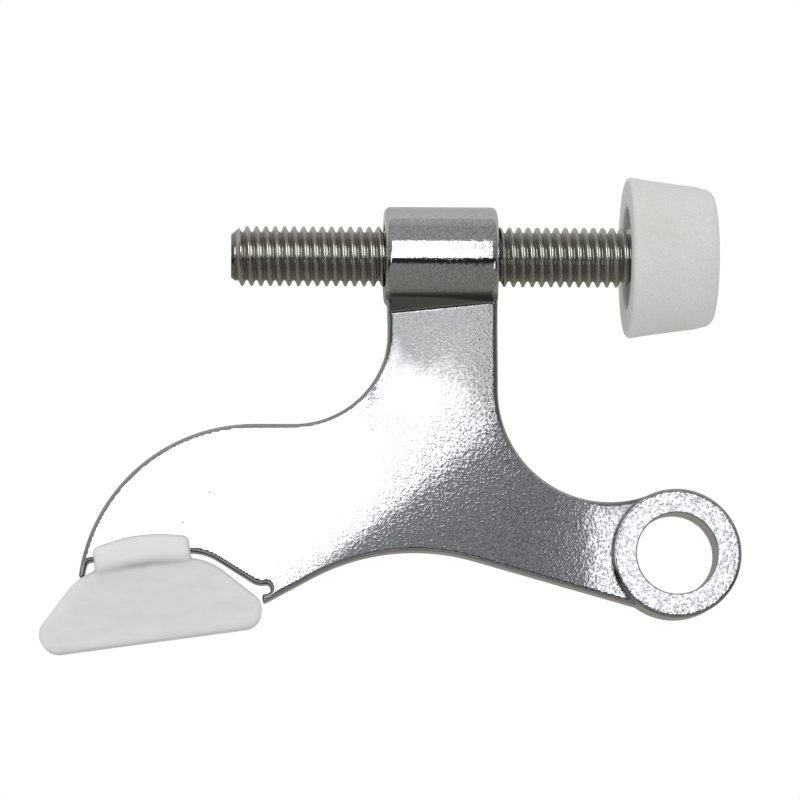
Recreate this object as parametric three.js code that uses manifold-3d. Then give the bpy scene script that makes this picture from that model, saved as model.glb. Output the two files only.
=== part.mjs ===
// Hinge-pin door stop. A cast arm hangs on a door's hinge pin by its eye. A screw through the
// boss carries a bumper that meets the door, and a pad on the arm's far end meets the door frame.
//
// Millimetres. The hinge pin's axis is Z and the origin is the middle of the eye. The arm lies in
// the XY plane, the same above and below it, and the screw runs along X.

import * as THREE from 'three';
import { mergeVertices } from 'three/addons/utils/BufferGeometryUtils.js';
import Module from 'manifold-3d';

// Driving dimensions

const eyeBore = 10.7;
const eyeDiameter = 17.1;
const eyeThickness = 6;

const armThickness = 4.2;
const armEdge = 0.2;
const armLowerEdge = 8.1; // from the eye's middle down to the line of the arm's lower edge
const armLowerSlope = THREE.MathUtils.degToRad(16);
const armFillet = 14.75; // between the neck and the eye

const neckHeight = 39.85; // from the eye's middle up to the screw's axis
const neckSetback = 31; // from the eye's middle back to the middle of the boss
const neckInset = 0.5; // the neck's left side, in from the boss's end

const bossLength = 15;
const bossDiameter = 13.3;
const bossEdge = 0.8;
const footRise = 0.9;
const footSlope = 1.3;
const footDropLeft = 6.5; // foot's lower edge, below the screw's axis
const footDropRight = 5;

const lobeRise = 17.13; // lobe's upper edge, above the eye's middle
const lobeFillet = 12.6; // between the neck and the lobe
const lobeLean = THREE.MathUtils.degToRad(8.1); // of the lobe's left edge, where it meets the prong
const lobeLowerSlope = THREE.MathUtils.degToRad(28.2);
const lobeLowerRadius = 28.5;

const notchRelief = 0.95; // height of the notch over the pad, beside the prong
const notchShoulder = 0.4; // the same, over the pad's far shoulder
const prongLength = 1.95;
const prongWidth = 0.67;
const prongTaper = 0.7;
const hookDrop = 4.8; // from the pad's top down to the slot beside the hook
const slotDepth = 1.2;
const slotHeight = 1.35;
const hookThickness = 1.15;
const tipRadius = 0.25; // of the prong and the hook

const screwDiameter = 8;
const screwPitch = 1.25;
const screwLength = 55;
const screwTip = 1.14; // drop and length of the cone at the screw's tip
const screwTipLength = 1.35;
const headFlats = 13;
const headHeight = 5.3;
const screwStandoff = 20.4; // length of thread that shows left of the boss
const threadLead = 2.05; // how far the thread is wound beyond the screw's ends before they are cut

const bumperLength = 11.6;
const bumperDiameter = 21.5;
const bumperFront = 18.4;
const bumperMouth = 13.6;
const bumperMouthDepth = 1.9;
const bumperBackEdge = 0.5;
const bumperFrontEdge = 1.3;

const padReach = 30.43; // from the boss's left end out to the middle of the pad's contact face
const padDrop = 11.51; // from the eye's middle down to the same point
const padLength = 29.3;
const padHeight = 10.25;
const padWidth = 7.4;
const padCorner = 2.38;
const padShoulder = 8;
const padFlank = THREE.MathUtils.degToRad(45.8);
const padTilt = THREE.MathUtils.degToRad(7.7);
const padEdge = 0.7;
const lipInset = 1.6; // lip's ends, in from the pad's shoulders
const lipHeight = 3.4;
const lipCrown = 0.7;
const lipCorner = 0.9;

const threadClearance = 0.25;
const clearance = 0.3;

// Derived places

const bossRight = -neckSetback + bossLength / 2;
const bossLeft = bossRight - bossLength;
const neckLeft = bossLeft + neckInset;
const screwStart = bossLeft - screwStandoff;
const headStart = screwStart + screwLength;
const bumperBack = headStart - bumperMouthDepth - clearance;
const padMiddle = new THREE.Vector2(bossLeft - padReach, -padDrop);
const padHalfFoot = padLength / 2 + padCorner * (1 / Math.tan(padFlank / 2) - 1);
const padHalfTop = padHalfFoot - padHeight / Math.tan(padFlank);
const lipHalf = padHalfTop - lipInset;
const hookTip = new THREE.Vector2(padLength / 2 + clearance, padHeight - hookDrop - slotHeight);
const prongTip = new THREE.Vector2(-padHalfTop, padHeight + clearance + notchRelief - prongLength);

const arcStep = THREE.MathUtils.degToRad(7.5);
const aroundSteps = 48;
const threadSteps = 24;

// Outlines

// The arc that rounds a corner, as points. next and last are the corners on each side of it.
function cornerArc(last, corner, next) {
  const toLast = last.clone().sub(corner).normalize();
  const toNext = next.clone().sub(corner).normalize();
  const half = Math.acos(THREE.MathUtils.clamp(toLast.dot(toNext), -1, 1)) / 2;
  const centre = toLast.clone().add(toNext).normalize();
  centre.multiplyScalar(corner.radius / Math.sin(half)).add(corner);
  const reach = corner.radius / Math.tan(half);
  const from = toLast.multiplyScalar(reach).add(corner).sub(centre);
  const to = toNext.multiplyScalar(reach).add(corner).sub(centre);
  const turn = Math.atan2(from.cross(to), from.dot(to));
  const steps = Math.max(2, Math.ceil(Math.abs(turn) / arcStep));
  return Array.from({ length: steps + 1 }, (_, i) =>
    from.clone().rotateAround(new THREE.Vector2(), (turn * i) / steps).add(centre));
}

function corner(x, y, radius = 0) {
  return Object.assign(new THREE.Vector2(x, y), { radius });
}

function roundedOutline(corners) {
  const points = corners.flatMap((here, i) => {
    const last = corners[(i + corners.length - 1) % corners.length];
    const next = corners[(i + 1) % corners.length];
    return here.radius > 0 ? cornerArc(last, here, next) : [here];
  });
  return points.filter((point, i) => point.distanceTo(points.at(i - 1)) > 0.01);
}

// Extrudes an outline to the given thickness about z = 0, with its edges cut back by the bevel.
function slab(outline, thickness, bevelSize, bevelHeight = bevelSize) {
  const geometry = new THREE.ExtrudeGeometry(new THREE.Shape(outline), {
    depth: thickness - 2 * bevelHeight,
    bevelEnabled: true,
    bevelThickness: bevelHeight,
    bevelSize,
    bevelOffset: -bevelSize,
    bevelSegments: 1,
  });
  return geometry.translate(0, 0, bevelHeight - thickness / 2);
}

// A turned solid. profile lists [distance along the axis, radius]; the axis is Z.
function turned(profile) {
  const points = profile.map(([along, radius]) => new THREE.Vector2(radius, along));
  return new THREE.LatheGeometry(points, aroundSteps).rotateX(Math.PI / 2);
}

// Lays a solid that was made along Z down along X, at a given start and on the screw's axis.
function onScrewAxis(geometry, start) {
  return geometry.rotateY(Math.PI / 2).translate(start, neckHeight, 0);
}

// Booleans

const wasm = await Module();
wasm.setup();

function solid(geometry) {
  const bare = geometry.clone();
  bare.deleteAttribute('normal');
  bare.deleteAttribute('uv');
  const merged = mergeVertices(bare, 1e-4);
  return new wasm.Manifold(new wasm.Mesh({
    numProp: 3,
    vertProperties: new Float32Array(merged.attributes.position.array),
    triVerts: new Uint32Array(merged.index.array),
  }));
}

function geometryOf(manifold) {
  const mesh = manifold.getMesh();
  const geometry = new THREE.BufferGeometry();
  geometry.setAttribute('position', new THREE.BufferAttribute(mesh.vertProperties, 3));
  geometry.setIndex(new THREE.BufferAttribute(mesh.triVerts, 1));
  geometry.computeVertexNormals();
  return geometry;
}

// Thread

// A right-hand thread along Z: a crest, a root and the flanks between them, wound round the axis.
// The last step of each turn lands on the first step of the next, so the surface closes.
function thread(crestRadius, rootRadius, turns) {
  const crestFlat = screwPitch / 8;
  const profile = [[0, crestRadius], [crestFlat, crestRadius], [(screwPitch + crestFlat) / 2, rootRadius]];
  const rows = profile.length * turns;
  const positions = [];
  for (let row = 0; row <= rows + profile.length; row += 1) {
    const [along, radius] = profile[row % profile.length];
    const base = Math.floor(row / profile.length) * screwPitch + along;
    for (let step = 0; step < threadSteps; step += 1) {
      const angle = (2 * Math.PI * step) / threadSteps;
      const rise = (screwPitch * step) / threadSteps;
      positions.push(radius * Math.cos(angle), radius * Math.sin(angle), base + rise);
    }
  }
  const at = (row, step) => (step < threadSteps
    ? row * threadSteps + step
    : (row + profile.length) * threadSteps);
  const faces = [];
  for (let row = 0; row < rows; row += 1) {
    for (let step = 0; step < threadSteps; step += 1) {
      const [a, b, c, d] = [at(row, step), at(row, step + 1), at(row + 1, step + 1), at(row + 1, step)];
      faces.push(a, b, c, a, c, d);
    }
  }
  for (const [row, flip] of [[0, true], [rows, false]]) {
    const rim = Array.from({ length: threadSteps + 1 }, (_, step) => at(row, step));
    for (let back = profile.length - 1; back > 0; back -= 1) rim.push(at(row + back, 0));
    const hub = positions.length / 3;
    positions.push(0, 0, positions[3 * rim[0] + 2] + screwPitch / 2);
    rim.forEach((vertex, i) => {
      const next = rim[(i + 1) % rim.length];
      faces.push(...(flip ? [hub, next, vertex] : [hub, vertex, next]));
    });
  }
  const geometry = new THREE.BufferGeometry();
  geometry.setAttribute('position', new THREE.Float32BufferAttribute(positions, 3));
  geometry.setIndex(faces);
  return geometry;
}

const crestRadius = screwDiameter / 2;
const rootRadius = crestRadius - 0.6134 * screwPitch;
const threadStart = screwStart - threadLead;
const threadTurns = Math.ceil(screwLength / screwPitch) + 4;

// Sub-parts

// A point on the pad: u runs along its contact face and v up from it, towards the arm.
function onPad(u, v, radius = 0) {
  const place = new THREE.Vector2(u, v).rotateAround(new THREE.Vector2(), padTilt).add(padMiddle);
  return corner(place.x, place.y, radius);
}

// The notch that holds the pad, from the prong at the lobe's left edge to the hook on its right.
function notchCorners() {
  const ceiling = padHeight + clearance;
  const slotEnd = hookTip.x + slotDepth;
  return [
    onPad(prongTip.x, prongTip.y, tipRadius),
    onPad(prongTip.x + prongTaper, ceiling + notchRelief, 0.7),
    onPad(padHalfTop, ceiling + notchShoulder, 7),
    onPad(hookTip.x - 0.4, hookTip.y + slotHeight, 2.5),
    onPad(slotEnd, hookTip.y + slotHeight, 0.4 * slotHeight),
    onPad(slotEnd, hookTip.y, 0.4 * slotHeight),
    onPad(hookTip.x, hookTip.y, tipRadius),
  ];
}

// The middle of the side that the arm's lower edge turns about, where its two straight runs meet.
function lowerBend(fromHook, fromEye) {
  const [hookSlope, eyeSlope] = [Math.tan(lobeLowerSlope), -Math.tan(armLowerSlope)];
  const x = (fromEye.y - fromHook.y + fromHook.x * hookSlope - fromEye.x * eyeSlope) / (hookSlope - eyeSlope);
  return corner(x, fromHook.y + (x - fromHook.x) * hookSlope, lobeLowerRadius);
}

// The arm's outline, clockwise from the top left of the neck.
function armOutline() {
  const filletX = bossRight + armFillet;
  const filletY = Math.sqrt((armFillet + eyeDiameter / 2) ** 2 - filletX ** 2);
  const eyeTop = new THREE.Vector2(filletX, filletY).setLength(eyeDiameter / 2);
  const filletCorner = eyeTop.y + ((eyeTop.x - bossRight) * eyeTop.x) / eyeTop.y;
  const eyeBottom = new THREE.Vector2(0, -armLowerEdge).rotateAround(new THREE.Vector2(), -armLowerSlope);
  const hookEnd = onPad(hookTip.x, hookTip.y - hookThickness, tipRadius);
  const prongEnd = onPad(prongTip.x - prongWidth, prongTip.y, tipRadius);
  const lobeX = prongEnd.x + (lobeRise - prongEnd.y) * Math.tan(lobeLean);
  const lobeSide = (lobeRise - prongEnd.y) / Math.cos(lobeLean);
  const lobeRadius = (lobeSide - 2 * tipRadius) / Math.tan((Math.PI / 2 - lobeLean) / 2);
  return roundedOutline([
    corner(neckLeft, neckHeight),
    corner(bossRight, neckHeight),
    corner(bossRight, filletCorner, armFillet),
    corner(eyeTop.x, eyeTop.y),
    corner(0, 0),
    corner(eyeBottom.x, eyeBottom.y),
    lowerBend(hookEnd, eyeBottom),
    hookEnd,
    ...notchCorners().reverse(),
    prongEnd,
    corner(lobeX, lobeRise, lobeRadius),
    corner(neckLeft, lobeRise, lobeFillet),
  ]);
}

// The raised foot that blends the boss into the neck on both faces of the arm.
function bossFoot() {
  const outline = [
    corner(neckLeft, neckHeight),
    corner(bossRight, neckHeight),
    corner(bossRight, neckHeight - footDropRight - footSlope),
    corner(neckLeft, neckHeight - footDropLeft - footSlope),
  ];
  return slab(outline, armThickness + 2 * footRise, footSlope, footRise);
}

function chamferedRod(length, radius, edge) {
  return turned([
    [0, 0],
    [0, radius - edge],
    [edge, radius],
    [length - edge, radius],
    [length, radius - edge],
    [length, 0],
  ]);
}

function bodyCasting() {
  const eye = chamferedRod(eyeThickness, eyeDiameter / 2, armEdge).translate(0, 0, -eyeThickness / 2);
  const pinHole = chamferedRod(eyeThickness + 2, eyeBore / 2, 0.1).translate(0, 0, -eyeThickness / 2 - 1);
  const boss = onScrewAxis(chamferedRod(bossLength, bossDiameter / 2, bossEdge), bossLeft);
  const tap = thread(crestRadius + threadClearance, rootRadius + threadClearance, threadTurns);
  return solid(slab(armOutline(), armThickness, armEdge))
    .add(solid(eye))
    .add(solid(boss))
    .add(solid(bossFoot()))
    .subtract(solid(pinHole))
    .subtract(solid(onScrewAxis(tap, threadStart)));
}

// A hexagon-head screw, threaded up to its head.
function adjustingScrew() {
  const blank = turned([
    [0, 0],
    [0, crestRadius - screwTip],
    [(screwTipLength * (screwTip + clearance)) / screwTip, crestRadius + clearance],
    [screwLength, crestRadius + clearance],
    [screwLength, 0],
  ]);
  const headRadius = headFlats / 2 / Math.cos(Math.PI / 6);
  const head = new THREE.CylinderGeometry(headRadius, headRadius, headHeight, 6).rotateX(Math.PI / 2);
  const shank = solid(onScrewAxis(thread(crestRadius, rootRadius, threadTurns), threadStart))
    .intersect(solid(onScrewAxis(blank, screwStart)));
  return shank.add(solid(onScrewAxis(head, headStart + headHeight / 2)));
}

function screwBumper() {
  const pocketRadius = headFlats / 2 / Math.cos(Math.PI / 6) + clearance;
  const pocketEnd = bumperMouthDepth + headHeight + 2 * clearance;
  const [back, front] = [bumperDiameter / 2, bumperFront / 2];
  const body = turned([
    [bumperMouthDepth, bumperMouth / 2],
    [0, bumperMouth / 2],
    [0, back - bumperBackEdge],
    [bumperBackEdge, back],
    [bumperLength - bumperFrontEdge, front],
    [bumperLength - bumperFrontEdge / 3, front - bumperFrontEdge / 3],
    [bumperLength, front - bumperFrontEdge],
    [bumperLength, 0],
    [pocketEnd, 0],
    [pocketEnd, pocketRadius],
    [bumperMouthDepth, pocketRadius],
    [bumperMouthDepth, bumperMouth / 2],
  ]);
  return solid(onScrewAxis(body, bumperBack));
}

function framePad() {
  const body = roundedOutline([
    onPad(-padHalfFoot, 0, padCorner),
    onPad(padHalfFoot, 0, padCorner),
    onPad(padHalfTop, padHeight, padShoulder),
    onPad(-padHalfTop, padHeight, padShoulder),
  ]);
  const lipTop = padHeight + lipHeight;
  const lip = roundedOutline([
    onPad(-lipHalf, padHeight - lipHeight),
    onPad(lipHalf, padHeight - lipHeight),
    onPad(lipHalf, lipTop - lipCrown, lipCorner),
    onPad(0, lipTop + lipCrown, 20),
    onPad(-lipHalf, lipTop - lipCrown, lipCorner),
  ]);
  const slot = [
    onPad(-padLength, padHeight),
    onPad(padLength, padHeight),
    onPad(padLength, padHeight + 2 * lipHeight),
    onPad(-padLength, padHeight + 2 * lipHeight),
  ];
  return solid(slab(body, padWidth, padEdge))
    .add(solid(slab(lip, padWidth + 0.6, padEdge)))
    .subtract(solid(slab(slot, armThickness + 2 * clearance, 0.01)));
}

// Materials and assembly

const chrome = new THREE.MeshStandardMaterial({ color: 0xd9dde0, roughness: 0.16, metalness: 1 });
const steel = new THREE.MeshStandardMaterial({ color: 0x8f8a80, roughness: 0.34, metalness: 1 });
const elastomer = new THREE.MeshStandardMaterial({ color: 0xd3d4cf, roughness: 0.62, metalness: 0 });
const milky = new THREE.MeshStandardMaterial({ color: 0xcfd2cf, roughness: 0.42, metalness: 0 });

const doorStop = new THREE.Group();
for (const [name, shape, material] of [
  ['body_casting', bodyCasting(), chrome],
  ['adjusting_screw', adjustingScrew(), steel],
  ['screw_bumper', screwBumper(), elastomer],
  ['frame_pad', framePad(), milky],
]) {
  const mesh = new THREE.Mesh(geometryOf(shape), material);
  mesh.name = name;
  doorStop.add(mesh);
}

export default doorStop;
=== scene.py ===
"""The looks of the hinge-pin door stop: four fine pieces that stand for the four CAD nodes.

Metres, in the CAD frame: the hinge pin's axis is Z, the origin is the middle of the eye, the arm
lies in the XY plane, and the screw runs along X at SCREW_Y.
"""

import cmath
import math

import bmesh
import bpy
import numpy as np
from mathutils import Euler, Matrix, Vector


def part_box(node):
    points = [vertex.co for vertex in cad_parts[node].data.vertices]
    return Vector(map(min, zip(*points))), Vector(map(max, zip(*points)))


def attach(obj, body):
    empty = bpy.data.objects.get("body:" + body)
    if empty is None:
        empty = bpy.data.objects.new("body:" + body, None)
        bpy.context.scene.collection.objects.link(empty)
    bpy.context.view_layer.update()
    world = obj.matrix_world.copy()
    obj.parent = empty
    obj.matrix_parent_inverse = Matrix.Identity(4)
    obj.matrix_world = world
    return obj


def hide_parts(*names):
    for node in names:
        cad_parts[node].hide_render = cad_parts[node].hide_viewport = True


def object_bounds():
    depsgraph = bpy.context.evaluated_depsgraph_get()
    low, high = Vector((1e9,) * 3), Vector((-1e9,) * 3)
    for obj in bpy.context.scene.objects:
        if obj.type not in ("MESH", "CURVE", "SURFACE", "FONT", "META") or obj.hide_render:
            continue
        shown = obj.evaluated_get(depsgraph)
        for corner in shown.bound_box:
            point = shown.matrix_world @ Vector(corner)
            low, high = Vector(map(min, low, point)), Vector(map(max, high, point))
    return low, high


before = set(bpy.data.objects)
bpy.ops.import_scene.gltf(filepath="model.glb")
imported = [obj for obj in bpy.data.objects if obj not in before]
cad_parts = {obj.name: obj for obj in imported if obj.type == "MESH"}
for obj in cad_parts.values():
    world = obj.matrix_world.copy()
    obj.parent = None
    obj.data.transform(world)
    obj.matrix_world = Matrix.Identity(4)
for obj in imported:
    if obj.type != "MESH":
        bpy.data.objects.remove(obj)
cad_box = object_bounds()

MM = 0.001

# Sizes that the CAD parts give

casting_low, casting_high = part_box("body_casting")
screw_low, screw_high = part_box("adjusting_screw")
bumper_low, bumper_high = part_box("screw_bumper")

EYE_RADIUS = casting_high.x
BOSS_RADIUS = casting_high.z
SCREW_Y = (screw_low.y + screw_high.y) / 2
SCREW_START = screw_low.x
SCREW_END = screw_high.x
BUMPER_BACK = bumper_low.x
BUMPER_LENGTH = bumper_high.x - bumper_low.x
BUMPER_RADIUS = bumper_high.z

# The arm and the eye

ARM_HALF = 2.1 * MM
ARM_EDGE = 0.5 * MM
ARM_LOWER_EDGE = 8.1 * MM
ARM_LOWER_SLOPE = math.radians(16)
ARM_FILLET = 14.75 * MM
EYE_HALF = 3 * MM
EYE_BORE = 5.35 * MM
EYE_EDGE = 0.4 * MM
EYE_FILLET = 0.15 * MM
BORE_EDGE = 0.2 * MM

# The boss, the neck below it and the raised foot that joins them

SCREW_TAIL = 20.4 * MM
BOSS_LENGTH = 15 * MM
BOSS_EDGE = 0.8 * MM
BOSS_FILLET = 0.3 * MM
NECK_STEP = 0.5 * MM
FOOT_RISE = 0.9 * MM
FOOT_SLOPE = 1.3 * MM
FOOT_DROP_LEFT = 6.5 * MM
FOOT_DROP_RIGHT = 5 * MM
FOOT_FILLET = 0.2 * MM

BOSS_LEFT = SCREW_START + SCREW_TAIL
BOSS_RIGHT = BOSS_LEFT + BOSS_LENGTH
NECK_LEFT = BOSS_LEFT + NECK_STEP

# The lobe, and its notch with the prong and the hook that hold the pad

LOBE_TOP = 17.13 * MM
LOBE_FILLET = 12.6 * MM
LOBE_LEAN = math.radians(8.1)
LOBE_LOWER_SLOPE = math.radians(28.2)
LOBE_LOWER_RADIUS = 28.5 * MM

NOTCH_RELIEF = 0.95 * MM
NOTCH_SHOULDER = 0.4 * MM
PRONG_LENGTH = 1.95 * MM
PRONG_WIDTH = 0.67 * MM
PRONG_TAPER = 0.7 * MM
HOOK_DROP = 4.8 * MM
SLOT_DEPTH = 1.2 * MM
SLOT_HEIGHT = 1.35 * MM
SLOT_CORNER = 0.54 * MM
HOOK_THICKNESS = 1.15 * MM
HOOK_SETBACK = 0.4 * MM
HOOK_BEND = 2.5 * MM
SHOULDER_BEND = 7 * MM
PRONG_BEND = 0.7 * MM
TIP_RADIUS = 0.25 * MM

# The screw. Its thread's depth is the standard share of the pitch.

SCREW_RADIUS = 4 * MM
SCREW_PITCH = 1.25 * MM
SCREW_LENGTH = 55 * MM
SCREW_TIP = 1.14 * MM
SCREW_TIP_LENGTH = 1.35 * MM
THREAD_DEPTH = 0.6134 * SCREW_PITCH
THREAD_FIRST_CREST = 2.09 * MM
THREAD_GAP = 0.25 * MM
THREAD_STEPS = 72
HEAD_HEIGHT = 5.3 * MM
HEAD_FLATS = 13 * MM
HEAD_CHAMFER = 0.5 * MM
HEAD_TOP_RADIUS = 0.95 * HEAD_FLATS / 2

# The bumper. GAP is the clearance round the screw's head, and of the pad on the arm.

BUMPER_FRONT_RADIUS = 9.2 * MM
BUMPER_MOUTH = 6.8 * MM
BUMPER_MOUTH_DEPTH = 1.9 * MM
BUMPER_BACK_EDGE = 0.6 * MM
BUMPER_FRONT_EDGE = 1.3 * MM
BUMPER_LIP_EDGE = 0.35 * MM
GAP = 0.3 * MM

# The pad. Its middle is that of its contact face. Its lips lie on the arm's faces.

PAD_REACH = 30.43 * MM
PAD_DROP = 11.51 * MM
PAD_TILT = math.radians(7.7)
PAD_LENGTH = 29.3 * MM
PAD_HEIGHT = 10.25 * MM
PAD_HALF = 3.7 * MM
PAD_CORNER = 2.38 * MM
PAD_SHOULDER = 8 * MM
PAD_FLANK = math.radians(45.8)
PAD_EDGE = 1 * MM
PAD_DOME = 0.6 * MM
LIP_HALF = 4 * MM
LIP_INSET = 1.6 * MM
LIP_ROOT = 0.05 * MM
LIP_ROOT_ARCH = 0.8 * MM
LIP_HEIGHT = 3.4 * MM
LIP_CROWN = 0.7 * MM
LIP_CORNER = 0.9 * MM
LIP_ARCH = 20 * MM
LIP_EDGE = 1.3 * MM
LIP_FILLET = 0.3 * MM

PAD_MIDDLE = complex(BOSS_LEFT - PAD_REACH, -PAD_DROP)
PAD_HALF_FOOT = PAD_LENGTH / 2 + PAD_CORNER * (1 / math.tan(PAD_FLANK / 2) - 1)
PAD_HALF_TOP = PAD_HALF_FOOT - PAD_HEIGHT / math.tan(PAD_FLANK)
LIP_SIDE = PAD_HALF_TOP - LIP_INSET

# Fineness of the outlines and of the meshes

ARC_STEP = math.radians(3)
SHORTEST_SIDE = 0.01 * MM
SHARP_ANGLE = math.radians(40)
CASTING_CELL = 0.25 * MM
PAD_CELL = 0.17 * MM

# Outlines, as lists of points x + iy


def corner_arc(last, here, following, radius):
    """The arc that rounds a corner, as points in order."""
    to_last = (last - here) / abs(last - here)
    to_next = (following - here) / abs(following - here)
    half = abs(cmath.phase(to_next / to_last)) / 2
    inwards = (to_last + to_next) / abs(to_last + to_next)
    centre = here + inwards * radius / math.sin(half)
    start = here + to_last * radius / math.tan(half) - centre
    end = here + to_next * radius / math.tan(half) - centre
    turn = cmath.phase(end / start)
    steps = max(2, math.ceil(abs(turn) / ARC_STEP))
    return [centre + start * cmath.exp(1j * turn * i / steps) for i in range(steps + 1)]


def rounded_outline(corners):
    """corners lists (point, radius of its rounding)."""
    points = []
    for i, (here, radius) in enumerate(corners):
        last = corners[i - 1][0]
        following = corners[(i + 1) % len(corners)][0]
        points += corner_arc(last, here, following, radius) if radius else [here]
    return [p for i, p in enumerate(points) if abs(p - points[i - 1]) > SHORTEST_SIDE]


def on_pad(u, v):
    """A point given along the pad's contact face and up from it, towards the arm."""
    return PAD_MIDDLE + complex(u, v) * cmath.exp(1j * PAD_TILT)


def hook_tip():
    """The upper corner of the hook's tip, on the pad's (u, v)."""
    return PAD_LENGTH / 2 + GAP, PAD_HEIGHT - HOOK_DROP - SLOT_HEIGHT


def prong_tip():
    """The inner corner of the prong's tip, on the pad's (u, v)."""
    return -PAD_HALF_TOP, PAD_HEIGHT + GAP + NOTCH_RELIEF - PRONG_LENGTH


def notch_corners():
    """The notch that holds the pad, from the hook back to the prong."""
    ceiling = PAD_HEIGHT + GAP
    hook_u, hook_v = hook_tip()
    prong_u, prong_v = prong_tip()
    slot_end = hook_u + SLOT_DEPTH
    return [
        (on_pad(hook_u, hook_v), TIP_RADIUS),
        (on_pad(slot_end, hook_v), SLOT_CORNER),
        (on_pad(slot_end, hook_v + SLOT_HEIGHT), SLOT_CORNER),
        (on_pad(hook_u - HOOK_SETBACK, hook_v + SLOT_HEIGHT), HOOK_BEND),
        (on_pad(PAD_HALF_TOP, ceiling + NOTCH_SHOULDER), SHOULDER_BEND),
        (on_pad(prong_u + PRONG_TAPER, ceiling + NOTCH_RELIEF), PRONG_BEND),
        (on_pad(prong_u, prong_v), TIP_RADIUS),
    ]


def lower_bend(from_hook, from_eye):
    """Where the two straight runs of the arm's lower edge meet."""
    hook_slope = math.tan(LOBE_LOWER_SLOPE)
    eye_slope = -math.tan(ARM_LOWER_SLOPE)
    rise = from_eye.imag - from_hook.imag
    x = (rise + from_hook.real * hook_slope - from_eye.real * eye_slope) / (hook_slope - eye_slope)
    return complex(x, from_hook.imag + (x - from_hook.real) * hook_slope)


def arm_outline():
    """The arm from the top left of the neck, clockwise."""
    fillet_x = BOSS_RIGHT + ARM_FILLET
    fillet_y = math.sqrt((ARM_FILLET + EYE_RADIUS) ** 2 - fillet_x**2)
    eye_top = complex(fillet_x, fillet_y) * EYE_RADIUS / (ARM_FILLET + EYE_RADIUS)
    fillet_corner = eye_top.imag + (eye_top.real - BOSS_RIGHT) * eye_top.real / eye_top.imag
    eye_bottom = -1j * ARM_LOWER_EDGE * cmath.exp(-1j * ARM_LOWER_SLOPE)
    hook_u, hook_v = hook_tip()
    prong_u, prong_v = prong_tip()
    hook_end = on_pad(hook_u, hook_v - HOOK_THICKNESS)
    prong_end = on_pad(prong_u - PRONG_WIDTH, prong_v)
    rise = LOBE_TOP - prong_end.imag
    lobe_x = prong_end.real + rise * math.tan(LOBE_LEAN)
    lobe_side = rise / math.cos(LOBE_LEAN)
    lobe_radius = (lobe_side - 2 * TIP_RADIUS) / math.tan((math.pi / 2 - LOBE_LEAN) / 2)
    return rounded_outline(
        [
            (complex(NECK_LEFT, SCREW_Y), 0),
            (complex(BOSS_RIGHT, SCREW_Y), 0),
            (complex(BOSS_RIGHT, fillet_corner), ARM_FILLET),
            (eye_top, 0),
            (0j, 0),
            (eye_bottom, 0),
            (lower_bend(hook_end, eye_bottom), LOBE_LOWER_RADIUS),
            (hook_end, TIP_RADIUS),
            *notch_corners(),
            (prong_end, TIP_RADIUS),
            (complex(lobe_x, LOBE_TOP), lobe_radius),
            (complex(NECK_LEFT, LOBE_TOP), LOBE_FILLET),
        ]
    )


# Distance fields: metres to a shape's surface, negative inside it


def outline_distance(outline, x, y):
    """How far (x, y) is outside a closed outline."""
    nearest = np.full(np.broadcast(x, y).shape, np.inf)
    inside = np.zeros(nearest.shape, bool)
    for a, b in zip(outline, outline[1:] + outline[:1]):
        side = b - a
        dx, dy = x - a.real, y - a.imag
        share = np.clip((dx * side.real + dy * side.imag) / abs(side) ** 2, 0, 1)
        gap = (dx - share * side.real) ** 2 + (dy - share * side.imag) ** 2
        nearest = np.minimum(nearest, gap)
        if a.imag != b.imag:
            crosses = (a.imag > y) != (b.imag > y)
            inside ^= crosses & (dx < side.real * dy / side.imag)
    return np.where(inside, -1, 1) * np.sqrt(nearest)


def rounded_both(across, up, edge):
    """The part inside both fields, with its edge rounded."""
    across, up = across + edge, up + edge
    outside = np.hypot(np.maximum(across, 0), np.maximum(up, 0))
    return outside + np.minimum(np.maximum(across, up), 0) - edge


def joined(a, b, fillet):
    """Both parts together, with a fillet between them."""
    share = np.maximum(fillet - np.abs(a - b), 0) / fillet
    return np.minimum(a, b) - share * share * fillet / 4


def cut(a, b, edge):
    """a without b, with a rounded edge."""
    return -joined(-a, b, edge)


def foot_field(flat, x, y, z):
    """The raised foot that joins the boss to the neck. It ends in a slope across the neck."""
    share = (x - NECK_LEFT) / (BOSS_RIGHT - NECK_LEFT)
    foot_line = SCREW_Y - FOOT_DROP_LEFT - FOOT_SLOPE + (FOOT_DROP_LEFT - FOOT_DROP_RIGHT) * share
    climb = FOOT_RISE / FOOT_SLOPE
    slope = (np.abs(z) - ARM_HALF - climb * (y - foot_line)) / math.hypot(1, climb)
    block = rounded_both(flat, np.abs(z) - ARM_HALF - FOOT_RISE, ARM_EDGE)
    return -joined(-block, -slope, ARM_EDGE)


def casting_field(x, y, z):
    """The arm, its foot, the eye and the boss, with the eye's bore and the screw's hole."""
    flat = outline_distance(arm_outline(), x, y)
    around_eye = np.hypot(x, y)
    around_screw = np.hypot(y - SCREW_Y, z)
    arm = rounded_both(flat, np.abs(z) - ARM_HALF, ARM_EDGE)
    eye = rounded_both(around_eye - EYE_RADIUS, np.abs(z) - EYE_HALF, EYE_EDGE)
    boss_middle = (BOSS_LEFT + BOSS_RIGHT) / 2
    boss_ends = np.abs(x - boss_middle) - (BOSS_RIGHT - BOSS_LEFT) / 2
    boss = rounded_both(around_screw - BOSS_RADIUS, boss_ends, BOSS_EDGE)
    whole = joined(arm, foot_field(flat, x, y, z), FOOT_FILLET)
    whole = joined(whole, eye, EYE_FILLET)
    whole = joined(whole, boss, BOSS_FILLET)
    whole = cut(whole, around_eye - EYE_BORE, BORE_EDGE)
    return cut(whole, around_screw - SCREW_RADIUS - THREAD_GAP, BORE_EDGE)


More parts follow.
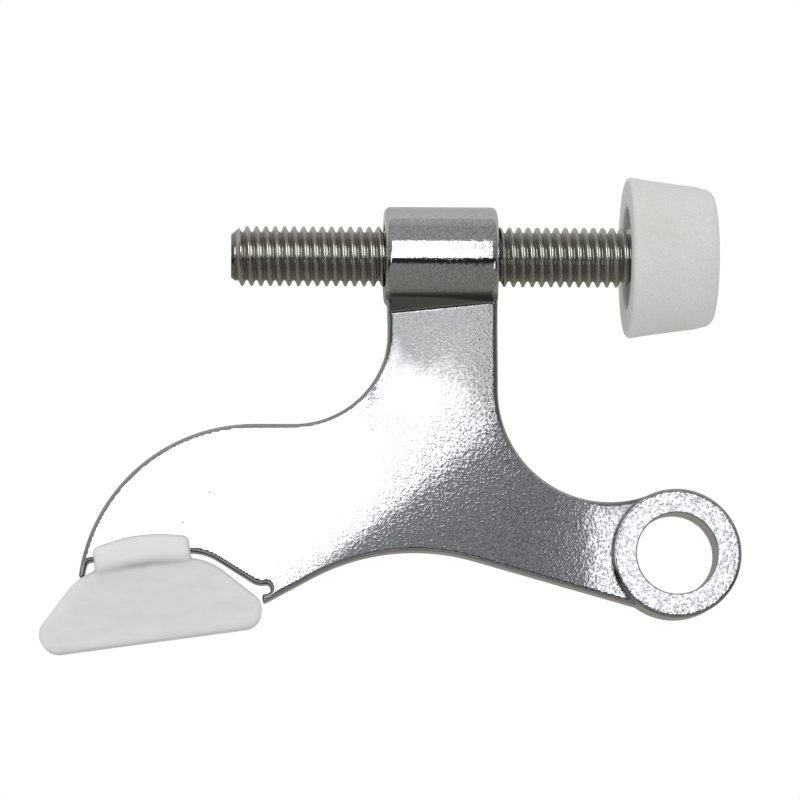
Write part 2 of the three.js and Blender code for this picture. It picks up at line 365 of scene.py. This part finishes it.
def pad_field(x, y, z):
    """The pad's body and its two lips, with the groove that takes the arm."""
    body_outline = rounded_outline(
        [
            (on_pad(-PAD_HALF_FOOT, 0), PAD_CORNER),
            (on_pad(PAD_HALF_FOOT, 0), PAD_CORNER),
            (on_pad(PAD_HALF_TOP, PAD_HEIGHT), PAD_SHOULDER),
            (on_pad(-PAD_HALF_TOP, PAD_HEIGHT), PAD_SHOULDER),
        ]
    )
    lip_top = PAD_HEIGHT + LIP_HEIGHT
    lip_root = PAD_HEIGHT - LIP_ROOT
    lip_outline = rounded_outline(
        [
            (on_pad(-LIP_SIDE, lip_root - LIP_ROOT_ARCH), 0),
            (on_pad(0, lip_root), LIP_ARCH),
            (on_pad(LIP_SIDE, lip_root - LIP_ROOT_ARCH), 0),
            (on_pad(LIP_SIDE, lip_top - LIP_CROWN), LIP_CORNER),
            (on_pad(0, lip_top + LIP_CROWN), LIP_ARCH),
            (on_pad(-LIP_SIDE, lip_top - LIP_CROWN), LIP_CORNER),
        ]
    )
    turn = cmath.exp(-1j * PAD_TILT)
    up = (x - PAD_MIDDLE.real) * turn.imag + (y - PAD_MIDDLE.imag) * turn.real
    dome = PAD_DOME * np.clip(up / PAD_HEIGHT, 0, 1) ** 4
    body = rounded_both(outline_distance(body_outline, x, y), np.abs(z) - PAD_HALF + dome, PAD_EDGE)
    lip = rounded_both(outline_distance(lip_outline, x, y), np.abs(z) - LIP_HALF, LIP_EDGE)
    groove = rounded_both(PAD_HEIGHT - up, np.abs(z) - ARM_HALF - GAP, BORE_EDGE)
    return cut(joined(body, lip, LIP_FILLET), groove, BORE_EDGE)


def surface_of(field, low, high, cell):
    """Points and quads of the closed surface where a field is zero.

    Each grid cell that the surface crosses gets one point, at the mean of where the surface meets
    the cell's edges, and each grid edge that it crosses gets the quad of the four cells round it.
    The points are then moved onto the surface itself.
    """
    margin = 2.5 * cell
    axes = [np.arange(lo - margin, hi + margin + cell / 2, cell) for lo, hi in zip(low, high)]
    value = field(*np.ix_(*axes))
    ids, places, quads = [], [], []
    for axis in range(3):
        here = np.moveaxis(value, axis, 0)[:-1]
        ahead = np.moveaxis(value, axis, 0)[1:]
        crossed = np.moveaxis((here < 0) != (ahead < 0), 0, axis)
        where = np.argwhere(crossed)
        first = value[tuple(where.T)]
        step = np.eye(3, dtype=int)[axis]
        second = value[tuple((where + step).T)]
        place = where + np.outer(first / (first - second), step)
        u, v = np.eye(3, dtype=int)[[(axis + 1) % 3, (axis + 2) % 3]]
        around = [where - u - v, where - v, where, where - u]
        quad = np.stack([np.ravel_multi_index(tuple(c.T), value.shape) for c in around], axis=1)
        ids.append(quad.ravel())
        places.append(np.repeat(place, 4, axis=0))
        quads.append(np.where((first < 0)[:, None], quad, quad[:, ::-1]))
    cells, index = np.unique(np.concatenate(ids), return_inverse=True)
    places = np.concatenate(places)
    counts = np.bincount(index)
    points = np.stack([np.bincount(index, places[:, i]) / counts for i in range(3)], axis=1)
    points = points * cell + np.array([a[0] for a in axes])
    for _ in range(2):
        points -= field(*points.T)[:, None] * normals_of(field, points)
    return points, np.searchsorted(cells, np.concatenate(quads)).tolist(), normals_of(field, points)


def normals_of(field, points):
    """The direction in which the field grows at each point."""
    reach = 0.02 * MM
    normals = np.empty_like(points)
    for axis in range(3):
        step = reach * np.eye(3)[axis]
        normals[:, axis] = field(*(points + step).T) - field(*(points - step).T)
    return normals / np.linalg.norm(normals, axis=1)[:, None]


# Pieces


def new_piece(name, points, faces, body, node, material, normals=None):
    """A mesh piece that rides on a body and stands for a CAD node."""
    mesh = bpy.data.meshes.new(name)
    mesh.from_pydata([tuple(p) for p in points], [], [tuple(f) for f in faces])
    mesh.validate()
    mesh.shade_smooth()
    if normals is not None:
        mesh.normals_split_custom_set_from_vertices(normals)
    mesh.materials.append(material)
    piece = bpy.data.objects.new(name, mesh)
    bpy.context.scene.collection.objects.link(piece)
    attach(piece, body)
    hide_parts(node)
    return piece


def casting_piece():
    points, faces, normals = surface_of(casting_field, casting_low, casting_high, CASTING_CELL)
    return new_piece(
        "casting", points, faces, "frame", "body_casting", chrome(), normals
    )


def pad_piece():
    points, faces, normals = surface_of(pad_field, *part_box("frame_pad"), PAD_CELL)
    material = milky_elastomer()
    pad = new_piece(
        "pad", points, faces, "frame", "frame_pad", material, normals
    )
    return pad


def arc(x, r, radius, start, end, steps=8):
    """Profile points of an arc centred at (x, r); angles in degrees from +X towards +r."""
    angles = [math.radians(start + (end - start) * i / steps) for i in range(steps + 1)]
    return [(x + radius * math.cos(a), r + radius * math.sin(a)) for a in angles]


def lathe(profile, steps=160):
    """Points and faces of a closed profile (x, radius) turned about the screw's axis."""
    points, rings = [], []
    for x, r in profile:
        angles = [2 * math.pi * i / steps for i in range(steps if r else 1)]
        rings.append(range(len(points), len(points) + len(angles)))
        points += [(x, SCREW_Y + r * math.sin(a), r * math.cos(a)) for a in angles]
    faces = []
    for here, following in zip(rings, rings[1:] + rings[:1]):
        for i in range(steps):
            j = i + 1
            corners = [
                here[i % len(here)],
                following[i % len(following)],
                following[j % len(following)],
                here[j % len(here)],
            ]
            face = list(dict.fromkeys(corners))
            if len(face) > 2:
                faces.append(face)
    return points, faces


def bumper_profile():
    """The bumper's section: its mouth, its side, its front and the pocket for the head."""
    back, front = BUMPER_BACK, BUMPER_BACK + BUMPER_LENGTH
    narrowing = BUMPER_RADIUS - BUMPER_FRONT_RADIUS
    lean = math.degrees(math.atan2(narrowing, BUMPER_LENGTH))
    pocket_radius = HEAD_FLATS / math.sqrt(3) + GAP
    pocket_end = back + BUMPER_MOUTH_DEPTH + HEAD_HEIGHT + 2 * GAP
    lip_middle = BUMPER_MOUTH + BUMPER_LIP_EDGE
    outer_back = BUMPER_RADIUS - BUMPER_BACK_EDGE
    outer_front = BUMPER_FRONT_RADIUS - BUMPER_FRONT_EDGE
    shares = [i / 5 for i in range(1, 5)]
    side = [(back + BUMPER_LENGTH * s, BUMPER_RADIUS - narrowing * s) for s in shares]
    return [
        *arc(back + BUMPER_MOUTH_DEPTH - BUMPER_LIP_EDGE, lip_middle, BUMPER_LIP_EDGE, 0, -90, 4),
        *arc(back + BUMPER_LIP_EDGE, lip_middle, BUMPER_LIP_EDGE, 270, 180, 5),
        *arc(back + BUMPER_BACK_EDGE, outer_back, BUMPER_BACK_EDGE, 180, 90 - lean, 7),
        *side,
        *arc(front - BUMPER_FRONT_EDGE, outer_front, BUMPER_FRONT_EDGE, 90 - lean, 0, 10),
        (front, 0.5 * outer_front),
        (front, 0),
        (pocket_end, 0),
        (pocket_end, 0.5 * pocket_radius),
        (pocket_end, pocket_radius),
        (back + BUMPER_MOUTH_DEPTH, pocket_radius),
    ]


def bumper_piece():
    points, faces = lathe(bumper_profile())
    piece = new_piece(
        "bumper", points, faces, "bumper", "screw_bumper", white_elastomer()
    )
    return piece


def thread_profile():
    """One pitch of thread as (distance along, depth below the crest), both in pitches.

    The root is rounded like the crest, half a pitch on.
    """
    depth = THREAD_DEPTH / SCREW_PITCH
    crest = [(-0.14, 0.07), (-0.08, 0.015), (0.0, 0.0), (0.08, 0.015), (0.14, 0.07)]
    root = [(0.5 + along, depth - drop) for along, drop in crest]
    return crest + root


def thread_points(start, turns):
    """Rows of points along the helix. The last step of a turn lands on the next turn's first.

    A crest lies at start, and at every pitch from there, on the screw's +Y side, which is a
    quarter turn after the first step.
    """
    quarter = 0.25
    points = []
    for turn in range(turns):
        for along, depth in thread_profile():
            for step in range(THREAD_STEPS):
                share = step / THREAD_STEPS
                angle = 2 * math.pi * share
                x = start + (turn + along + share - quarter) * SCREW_PITCH
                cone = max(x - SCREW_START, 0) * SCREW_TIP / SCREW_TIP_LENGTH
                taper = SCREW_RADIUS - SCREW_TIP + cone
                radius = min(SCREW_RADIUS - depth * SCREW_PITCH, taper)
                points.append((x, SCREW_Y + radius * math.sin(angle), -radius * math.cos(angle)))
    return points


def screw_shank(mesh):
    """Adds the threaded shank, cut off flat at the tip and inside the head."""
    spare_turns = 3
    start = SCREW_START + THREAD_FIRST_CREST - spare_turns * SCREW_PITCH
    turns = math.ceil(SCREW_LENGTH / SCREW_PITCH) + 2 * spare_turns
    verts = [mesh.verts.new(p) for p in thread_points(start, turns)]
    rows_in_turn = len(thread_profile())
    for row in range(rows_in_turn * (turns - 1) - 1):
        for step in range(THREAD_STEPS):
            last = step + 1 == THREAD_STEPS
            following_row = row + rows_in_turn if last else row
            a = row * THREAD_STEPS + step
            b = following_row * THREAD_STEPS + (step + 1) % THREAD_STEPS
            corners = (a, a + THREAD_STEPS, b + THREAD_STEPS, b)
            mesh.faces.new([verts[i] for i in corners])
    for x, normal in ((SCREW_START, -1), (SCREW_START + SCREW_LENGTH + GAP, 1)):
        whole = mesh.verts[:] + mesh.edges[:] + mesh.faces[:]
        sliced = bmesh.ops.bisect_plane(
            mesh, geom=whole, plane_co=(x, 0, 0), plane_no=(normal, 0, 0), clear_outer=True
        )
        rim = [e for e in sliced["geom_cut"] if isinstance(e, bmesh.types.BMEdge)]
        bmesh.ops.holes_fill(mesh, edges=rim, sides=0)
    bmesh.ops.delete(mesh, geom=[v for v in mesh.verts if not v.link_faces], context="VERTS")


def screw_head(mesh):
    """Adds the hexagon head, with its corners cut back at the top."""
    corner_radius = HEAD_FLATS / math.sqrt(3)
    sections = (
        (SCREW_START + SCREW_LENGTH, corner_radius),
        (SCREW_END - HEAD_CHAMFER, corner_radius),
        (SCREW_END, HEAD_TOP_RADIUS),
    )
    rings = []
    for x, radius in sections:
        ring = []
        for i in range(6):
            angle = math.pi / 3 * i
            place = (x, SCREW_Y + radius * math.sin(angle), radius * math.cos(angle))
            ring.append(mesh.verts.new(place))
        rings.append(ring)
    mesh.faces.new(rings[0])
    mesh.faces.new(rings[-1][::-1])
    for lower, upper in zip(rings, rings[1:]):
        for i in range(6):
            j = (i + 1) % 6
            mesh.faces.new((lower[j], lower[i], upper[i], upper[j]))


def screw_piece():
    shape = bmesh.new()
    screw_shank(shape)
    screw_head(shape)
    bmesh.ops.recalc_face_normals(shape, faces=shape.faces)
    shape.verts.index_update()
    points = [v.co.copy() for v in shape.verts]
    faces = [[v.index for v in f.verts] for f in shape.faces]
    shape.free()
    piece = new_piece(
        "screw", points, faces, "screw", "adjusting_screw", stainless_steel()
    )
    piece.data.set_sharp_from_angle(angle=SHARP_ANGLE)
    return piece


# Materials. Textures use object coordinates, so a feature's size is 1 / scale metres.


class Surface:
    """A material and its shader, with short ways to add the nodes that these materials share."""

    def __init__(self, name):
        self.material = bpy.data.materials.new(name)
        self.material.use_nodes = True
        self.tree = self.material.node_tree
        self.shader = self.tree.nodes["Principled BSDF"]
        self.place = self.tree.nodes.new("ShaderNodeTexCoord").outputs["Object"]

    def add(self, kind, **values):
        """A new node. values are its properties or, by name, its inputs."""
        node = self.tree.nodes.new("ShaderNode" + kind)
        for key, value in values.items():
            if hasattr(node, key):
                setattr(node, key, value)
            else:
                self.put(node.inputs[key.replace("_", " ")], value)
        return node

    def put(self, socket, value):
        """Links value to an input, or sets it there if it isn't a socket."""
        if isinstance(value, bpy.types.NodeSocket):
            self.tree.links.new(value, socket)
        else:
            socket.default_value = value

    def set(self, **values):
        """Sets the shader's inputs by name."""
        for key, value in values.items():
            self.put(self.shader.inputs[key.replace("_", " ")], value)

    def noise(self, size, detail=2.0, stretch=(1, 1, 1), roughness=0.5):
        """Noise whose features are about size across, in metres."""
        mapping = self.add("Mapping", Vector=self.place, Scale=stretch)
        node = self.add("TexNoise", Scale=1 / size, Detail=detail, Roughness=roughness)
        self.tree.links.new(mapping.outputs["Vector"], node.inputs["Vector"])
        return node.outputs["Fac"]

    def spots(self, size, share):
        """0 on small round spots about size apart, 1 elsewhere. share is how wide they are."""
        node = self.add("TexVoronoi", Vector=self.place, Scale=1 / size)
        return self.ramp(node.outputs["Distance"], 0.5 * share, share, 0, 1)

    def ramp(self, value, low, high, start, end):
        """value taken from low..high to start..end, and held there outside it."""
        node = self.add("MapRange")
        self.put(node.inputs["Value"], value)
        for key, number in zip(("From Min", "From Max", "To Min", "To Max"), (low, high, start, end)):
            node.inputs[key].default_value = number
        return node.outputs["Result"]

    def mix(self, share, first, second):
        """The colour from first, at share 0, to second, at share 1."""
        node = self.add("Mix", data_type="RGBA")
        self.put(node.inputs["Factor"], share)
        self.put(node.inputs["A"], first)
        self.put(node.inputs["B"], second)
        return node.outputs["Result"]

    def math(self, operation, *values):
        node = self.add("Math", operation=operation)
        for socket, value in zip(node.inputs, values):
            self.put(socket, value)
        return node.outputs["Value"]

    def along(self, x, y, z):
        """How far along a direction the place is, in metres."""
        node = self.add("VectorMath", operation="DOT_PRODUCT")
        self.put(node.inputs[0], self.place)
        self.put(node.inputs[1], (x, y, z))
        return node.outputs["Value"]

    def bump(self, height, depth, below=None):
        """A bump depth metres high, on top of another one."""
        node = self.add("Bump", Strength=1.0, Distance=depth, Height=height)
        if below is not None:
            self.tree.links.new(below, node.inputs["Normal"])
        return node.outputs["Normal"]

    def flatness(self):
        """How squarely the surface faces up or down: 1 on the arm's faces, 0 on its sides."""
        normal = self.add("NewGeometry").outputs["Normal"]
        split = self.add("SeparateXYZ", Vector=normal)
        return self.math("ABSOLUTE", split.outputs["Z"])


def grey(value, warm=0.0):
    """A colour of that brightness, yellower or, with warm below zero, bluer."""
    return (value * (1 + 0.4 * warm), value, value * (1 - 1.6 * warm), 1)


def raised(s, blur):
    """0 on the arm's faces, 1 on what stands up from them."""
    return s.ramp(s.math("ABSOLUTE", s.along(0, 0, 1)), ARM_HALF, ARM_HALF + blur, 0, 1)


def painted_neck_reflection(s):
    """1 on the neck's faces, where a dark reflection is painted into the chrome's colour, 0
    elsewhere.
    """
    lean = math.radians(55.5)
    streaks = s.ramp(s.noise(1.2 * MM, 4, (1, 0.35, 1)), 0, 1, -2.5 * MM, 2.5 * MM)
    reach = s.math("ADD", s.along(math.cos(lean), math.sin(lean), 0), streaks)
    on_face = s.math("SUBTRACT", 1, raised(s, 0.1 * MM))
    return s.math("MULTIPLY", s.ramp(reach, -1.5 * MM, 2.5 * MM, 0, 1), on_face)


def shade_under_boss(s):
    """1 in the corner below the boss, where painted shade darkens the chrome, 0 elsewhere."""
    blur = 0.5 * MM
    upper = SCREW_Y - 5.2 * MM
    lower = SCREW_Y - 9 * MM
    y = s.along(0, 1, 0)
    below = s.ramp(y, upper - blur, upper, 1, 0)
    above = s.ramp(y, lower, lower + blur, 0, 1)
    return s.math("MULTIPLY", s.math("MULTIPLY", below, above), raised(s, 0.15 * MM))


def chrome_colour(s, coarse, grain, pits):
    """Mottled bright faces with a painted dark reflection on the neck, and greyer sides that darken
    with painted shade in the corners and below the boss.
    """
    shade = s.mix(coarse, grey(0.86, -0.03), grey(0.55, -0.04))
    face = s.mix(s.ramp(grain, 0.4, 0.6, 0, 1), grey(0.95, -0.015), shade)
    mottle = s.ramp(s.noise(0.2 * MM, 2), 0.4, 0.65, 0, 1)
    # Painted reflection: the neck's faces are coloured dark grey, standing in for darker surroundings
    # mirrored there.
    face = s.mix(painted_neck_reflection(s), face, s.mix(mottle, grey(0.3, -0.01), grey(0.4, -0.02)))
    face = s.mix(pits, grey(0.25, 0.05), face)
    side = s.mix(s.noise(0.3 * MM, 3), grey(0.55, 0.04), grey(0.8, 0.03))
    # Painted shade: the sides are coloured near black where ambient occlusion finds nearby surfaces.
    near = s.add("AmbientOcclusion", samples=8, Distance=4 * MM).outputs["AO"]
    side = s.mix(s.ramp(near, 0.5, 0.9, 0, 1), grey(0.1, 0.05), side)
    colour = s.mix(s.ramp(s.flatness(), 0.55, 0.95, 0, 1), side, face)
    # Painted shade: the corner below the boss is coloured dark grey.
    return s.mix(shade_under_boss(s), colour, grey(0.27, 0.05))


def chrome():
    """Bright chrome over a cast face: grain and dents, coarser towards the eye, and a few pits."""
    s = Surface("chrome")
    coarse = s.ramp(s.along(1, 0, 0), -42 * MM, -20 * MM, 0.2, 1)
    grain = s.noise(0.36 * MM, 3)
    dents = s.ramp(s.noise(0.36 * MM, 1), 0.52, 0.7, 0, 1)
    pits = s.spots(3.1 * MM, 0.035)
    lumps = s.bump(s.math("MULTIPLY", coarse, s.noise(1.0 * MM, 2)), 0.012 * MM)
    hammered = s.bump(s.math("MULTIPLY", coarse, dents), 0.006 * MM, lumps)
    fine = s.bump(s.math("MULTIPLY", coarse, grain), 0.004 * MM, hammered)
    pitted = s.bump(pits, 0.01 * MM, fine)
    colour = chrome_colour(s, coarse, grain, pits)
    s.set(Base_Color=colour, Metallic=1.0, Roughness=0.045, Normal=pitted)
    return s.material


def stainless_steel():
    """Rolled thread: warm grey, with painted shade darkening the roots."""
    s = Surface("stainless_steel")
    tone = s.mix(s.noise(0.7 * MM, 4), grey(0.47, 0.05), grey(0.66, 0.03))
    apart = s.math("SUBTRACT", s.along(0, 1, 0), SCREW_Y)
    square = s.math("ADD", s.math("POWER", apart, 2), s.math("POWER", s.along(0, 0, 1), 2))
    radius = s.math("SQRT", square)
    out_of_root_shade = s.ramp(radius, SCREW_RADIUS - THREAD_DEPTH, SCREW_RADIUS - 0.6 * THREAD_DEPTH, 0, 1)
    # Painted shade: the thread's roots are coloured dark, where shade falls between the crests.
    tone = s.mix(out_of_root_shade, grey(0.3, 0.08), tone)
    rolled = s.noise(0.5 * MM, 3, (6, 1, 1))
    s.set(
        Base_Color=tone,
        Metallic=1.0,
        Roughness=s.ramp(rolled, 0.3, 0.7, 0.14, 0.26),
        Normal=s.bump(s.noise(0.25 * MM, 3), 0.003 * MM),
    )
    return s.material


def white_elastomer():
    """Matt moulded elastomer, slightly warm, with fine grain, faint smudges and a few specks."""
    s = Surface("white_elastomer")
    smudge = s.ramp(s.noise(6 * MM, 4), 0.35, 0.7, 0, 1)
    tone = s.mix(smudge, grey(0.78, 0.012), grey(0.73, 0.018))
    tone = s.mix(s.ramp(s.noise(0.3 * MM, 3), 0.4, 0.6, 0, 0.35), tone, grey(0.62, 0.02))
    tone = s.mix(s.spots(9 * MM, 0.012), grey(0.3, 0.08), tone)
    s.set(
        Base_Color=tone,
        Roughness=s.ramp(s.noise(1.5 * MM, 3), 0.3, 0.7, 0.5, 0.62),
        Normal=s.bump(s.noise(0.3 * MM, 3), 0.008 * MM),
        Subsurface_Weight=0.25,
        Subsurface_Radius=(1, 0.9, 0.8),
        Subsurface_Scale=1.2 * MM,
        Specular_IOR_Level=0.25,
    )
    return s.material


def milky_elastomer():
    """Milky translucent elastomer, with painted light making the thin lip lighter and painted shade
    making the crease below it bluish.
    """
    s = Surface("milky_elastomer")
    flow = s.ramp(s.noise(4 * MM, 3, (1, 2.5, 1)), 0.35, 0.7, 0, 1)
    tone = s.mix(flow, grey(0.79, 0.009), grey(0.74, 0.009))
    upwards = s.along(-math.sin(PAD_TILT), math.cos(PAD_TILT), 0)
    root = (PAD_MIDDLE * cmath.exp(-1j * PAD_TILT)).imag + PAD_HEIGHT
    # Painted light: the thin lip is coloured lighter, standing in for light passing through it.
    tone = s.mix(s.ramp(upwards, root, root + 0.8 * MM, 0, 1), tone, grey(0.88, -0.005))
    # Painted shade: the crease below the lip is coloured bluish grey where ambient occlusion finds
    # nearby surfaces.
    near = s.add("AmbientOcclusion", samples=8, Distance=3 * MM).outputs["AO"]
    tone = s.mix(s.ramp(near, 0.6, 0.95, 0, 1), grey(0.66, -0.025), tone)
    tone = s.mix(s.spots(9 * MM, 0.012), grey(0.3, 0.08), tone)
    s.set(
        Base_Color=tone,
        Roughness=s.ramp(s.noise(2 * MM, 3), 0.3, 0.7, 0.3, 0.42),
        Normal=s.bump(s.noise(0.4 * MM, 3), 0.006 * MM),
        Subsurface_Weight=0.6,
        Subsurface_Radius=(1, 1, 0.95),
        Subsurface_Scale=3 * MM,
        Specular_IOR_Level=0.2,
    )
    return s.material


# Camera and lights

CAMERA_LENS = 168.3
CAMERA_SENSOR = 36
CAMERA_TURN = (math.radians(7.314), math.radians(-2.627), math.radians(-0.138))
CAMERA_DISTANCE = 496.8 * MM
CAMERA_AIM = Vector((-36.42 * MM, 20.58 * MM, 0))

LOBE_PANEL_HEIGHT = 120 * MM
PANEL_HEIGHT = 62 * MM

# The bright reflection on the arm ends at a slanting edge, which passes through this point.

EDGE_START = complex(-25.9, 15.4) * MM
EDGE_TURN = math.radians(38.3)


def camera_place():
    backwards = Euler(CAMERA_TURN).to_matrix() @ Vector((0, 0, 1))
    return CAMERA_AIM + backwards * CAMERA_DISTANCE


def add_camera():
    data = bpy.data.cameras.new("camera")
    data.lens = CAMERA_LENS
    data.sensor_width = CAMERA_SENSOR
    camera = bpy.data.objects.new("camera", data)
    bpy.context.scene.collection.objects.link(camera)
    camera.rotation_euler = CAMERA_TURN
    camera.location = camera_place()
    bpy.context.scene.camera = camera


def add_panel(name, place, length, width, radiance):
    """A soft panel that faces down. radiance is how bright it looks in the metal."""
    data = bpy.data.lights.new(name, "AREA")
    data.shape = "RECTANGLE"
    data.size = length
    data.size_y = width
    data.energy = radiance * math.pi * length * width
    panel = bpy.data.objects.new(name, data)
    panel.location = place
    bpy.context.scene.collection.objects.link(panel)
    return panel


def aim(panel):
    """Turns a panel to face the part."""
    backwards = Vector(panel.location) - CAMERA_AIM
    panel.rotation_euler = backwards.to_track_quat("Z", "Y").to_euler()


def add_mirrored(name, middle, size, turn, radiance, height=PANEL_HEIGHT):
    """A panel placed so that its reflection covers a rectangle of the arm's upper face."""
    camera = camera_place()
    lift = (height - ARM_HALF) / (camera.z - ARM_HALF)
    away = middle - complex(camera.x, camera.y)
    place = middle + away * lift
    length, width = (side * (1 + lift) for side in size)
    panel = add_panel(name, (place.real, place.imag, height), length, width, radiance)
    panel.rotation_euler.z = turn
    panel.visible_diffuse = False


def along_edge(u, v):
    """A point of the arm's face given along the bright reflection's edge and away from it."""
    return EDGE_START + complex(u, v) * MM * cmath.exp(1j * EDGE_TURN)


def add_reflections():
    """Panels that the chrome mirrors: on the lobe, on the neck's foot, the boss and the eye."""
    lobe = along_edge(-32.5, 13.35)
    tip = along_edge(-2.25, 5.6)
    boss = complex(-31.3, 39) * MM
    eye = complex(-0.9, 0) * MM
    add_mirrored("lobe_panel", lobe, (49 * MM, 27.3 * MM), EDGE_TURN, 1.06, LOBE_PANEL_HEIGHT)
    add_mirrored("tip_panel", tip, (11.5 * MM, 11.8 * MM), EDGE_TURN, 1.06, LOBE_PANEL_HEIGHT)
    add_mirrored("boss_panel", boss, (16.5 * MM, 38.5 * MM), 0, 1.2)
    add_mirrored("eye_panel", eye, (21 * MM, 19.4 * MM), 0, 1.0)


def add_screw_light(screw):
    """A panel for the screw only, which makes the row of highlights on its thread."""
    side = add_panel("side_panel", (-260 * MM, 130 * MM, 300 * MM), 250 * MM, 200 * MM, 3.2)
    aim(side)
    side.visible_diffuse = False
    lit = bpy.data.collections.new("lit_by_side_panel")
    lit.objects.link(screw)
    side.light_linking.receiver_collection = lit


def add_fill():
    """A large soft light that only the matt surfaces take."""
    fill = add_panel("fill", (-60 * MM, 500 * MM, 800 * MM), 1400 * MM, 1400 * MM, 0.42)
    aim(fill)
    fill.visible_glossy = False


# World and floor

WHITE = grey(1.0)
MATT_LIGHT = grey(0.72)
WORLD_STOPS = (
    (-1.0, grey(0.2, 0.03)),
    (-0.45, grey(0.19, 0.03)),
    (-0.38, grey(0.02)),
    (-0.22, grey(0.02)),
    (-0.1, grey(0.19, -0.02)),
    (0.3, grey(0.2, -0.02)),
    (0.5, grey(0.28, 0.01)),
    (0.9, grey(0.28, 0.01)),
    (1.0, grey(0.4, -0.02)),
)
FLOOR_REACH = 2.0
FLOOR_STOPS = (
    (-60 * MM, grey(0.14, 0.05)),
    (-25 * MM, grey(0.28, 0.04)),
    (SCREW_Y, grey(0.28, 0.04)),
    (SCREW_Y + BOSS_RADIUS, grey(0.53, -0.02)),
)


def by_ray(tree, reflected):
    """A colour that is white to the camera, MATT_LIGHT to matt surfaces, reflected in gloss."""
    rays = tree.nodes.new("ShaderNodeLightPath").outputs
    colour = reflected
    for test, seen in ((rays["Is Diffuse Ray"], MATT_LIGHT), (rays["Is Camera Ray"], WHITE)):
        node = tree.nodes.new("ShaderNodeMix")
        node.data_type = "RGBA"
        tree.links.new(test, node.inputs["Factor"])
        tree.links.new(colour, node.inputs["A"])
        node.inputs["B"].default_value = seen
        colour = node.outputs["Result"]
    return colour


def shades(tree, place, stops):
    """The colour at the Y of a place, from stops (y, colour) with straight lines between them."""
    low, high = stops[0][0], stops[-1][0]
    split = tree.nodes.new("ShaderNodeSeparateXYZ")
    tree.links.new(place, split.inputs["Vector"])
    share = tree.nodes.new("ShaderNodeMapRange")
    share.inputs["From Min"].default_value = low
    share.inputs["From Max"].default_value = high
    tree.links.new(split.outputs["Y"], share.inputs["Value"])
    ramp = tree.nodes.new("ShaderNodeValToRGB")
    tree.links.new(share.outputs["Result"], ramp.inputs["Fac"])
    elements = ramp.color_ramp.elements
    elements[-1].color = stops[-1][1]
    elements[0].color = stops[0][1]
    for y, colour in stops[1:-1]:
        elements.new((y - low) / (high - low)).color = colour
    return ramp.outputs["Color"]


def add_world():
    """A grey studio, with a dark gap towards -Y that draws a dark line along the boss."""
    world = bpy.data.worlds.new("studio")
    world.use_nodes = True
    world.cycles.sampling_method = "NONE"
    bpy.context.scene.world = world
    tree = world.node_tree
    place = tree.nodes.new("ShaderNodeTexCoord").outputs["Generated"]
    colour = by_ray(tree, shades(tree, place, WORLD_STOPS))
    tree.links.new(colour, tree.nodes["Background"].inputs["Color"])


def add_floor():
    """A floor that looks white and is grey in reflections, so that the chrome's sides stay grey."""
    mesh = bpy.data.meshes.new("floor")
    level = cad_box[0].z - GAP
    square = ((-1, -1), (1, -1), (1, 1), (-1, 1))
    corners = [(FLOOR_REACH * x, FLOOR_REACH * y, level) for x, y in square]
    mesh.from_pydata(corners, [], [(0, 1, 2, 3)])
    floor = bpy.data.objects.new("floor", mesh)
    bpy.context.scene.collection.objects.link(floor)
    material = bpy.data.materials.new("floor")
    material.use_nodes = True
    material.cycles.emission_sampling = "NONE"
    tree = material.node_tree
    place = tree.nodes.new("ShaderNodeTexCoord").outputs["Object"]
    glow = tree.nodes.new("ShaderNodeEmission")
    colour = by_ray(tree, shades(tree, place, FLOOR_STOPS))
    tree.links.new(colour, glow.inputs["Color"])
    tree.links.new(glow.outputs["Emission"], tree.nodes["Material Output"].inputs["Surface"])
    mesh.materials.append(material)


casting_piece()
screw = screw_piece()
bumper_piece()
pad_piece()
add_floor()
add_world()
add_reflections()
add_screw_light(screw)
add_fill()
add_camera()
bpy.context.scene.view_settings.view_transform = "Standard"

bpy.context.view_layer.update()
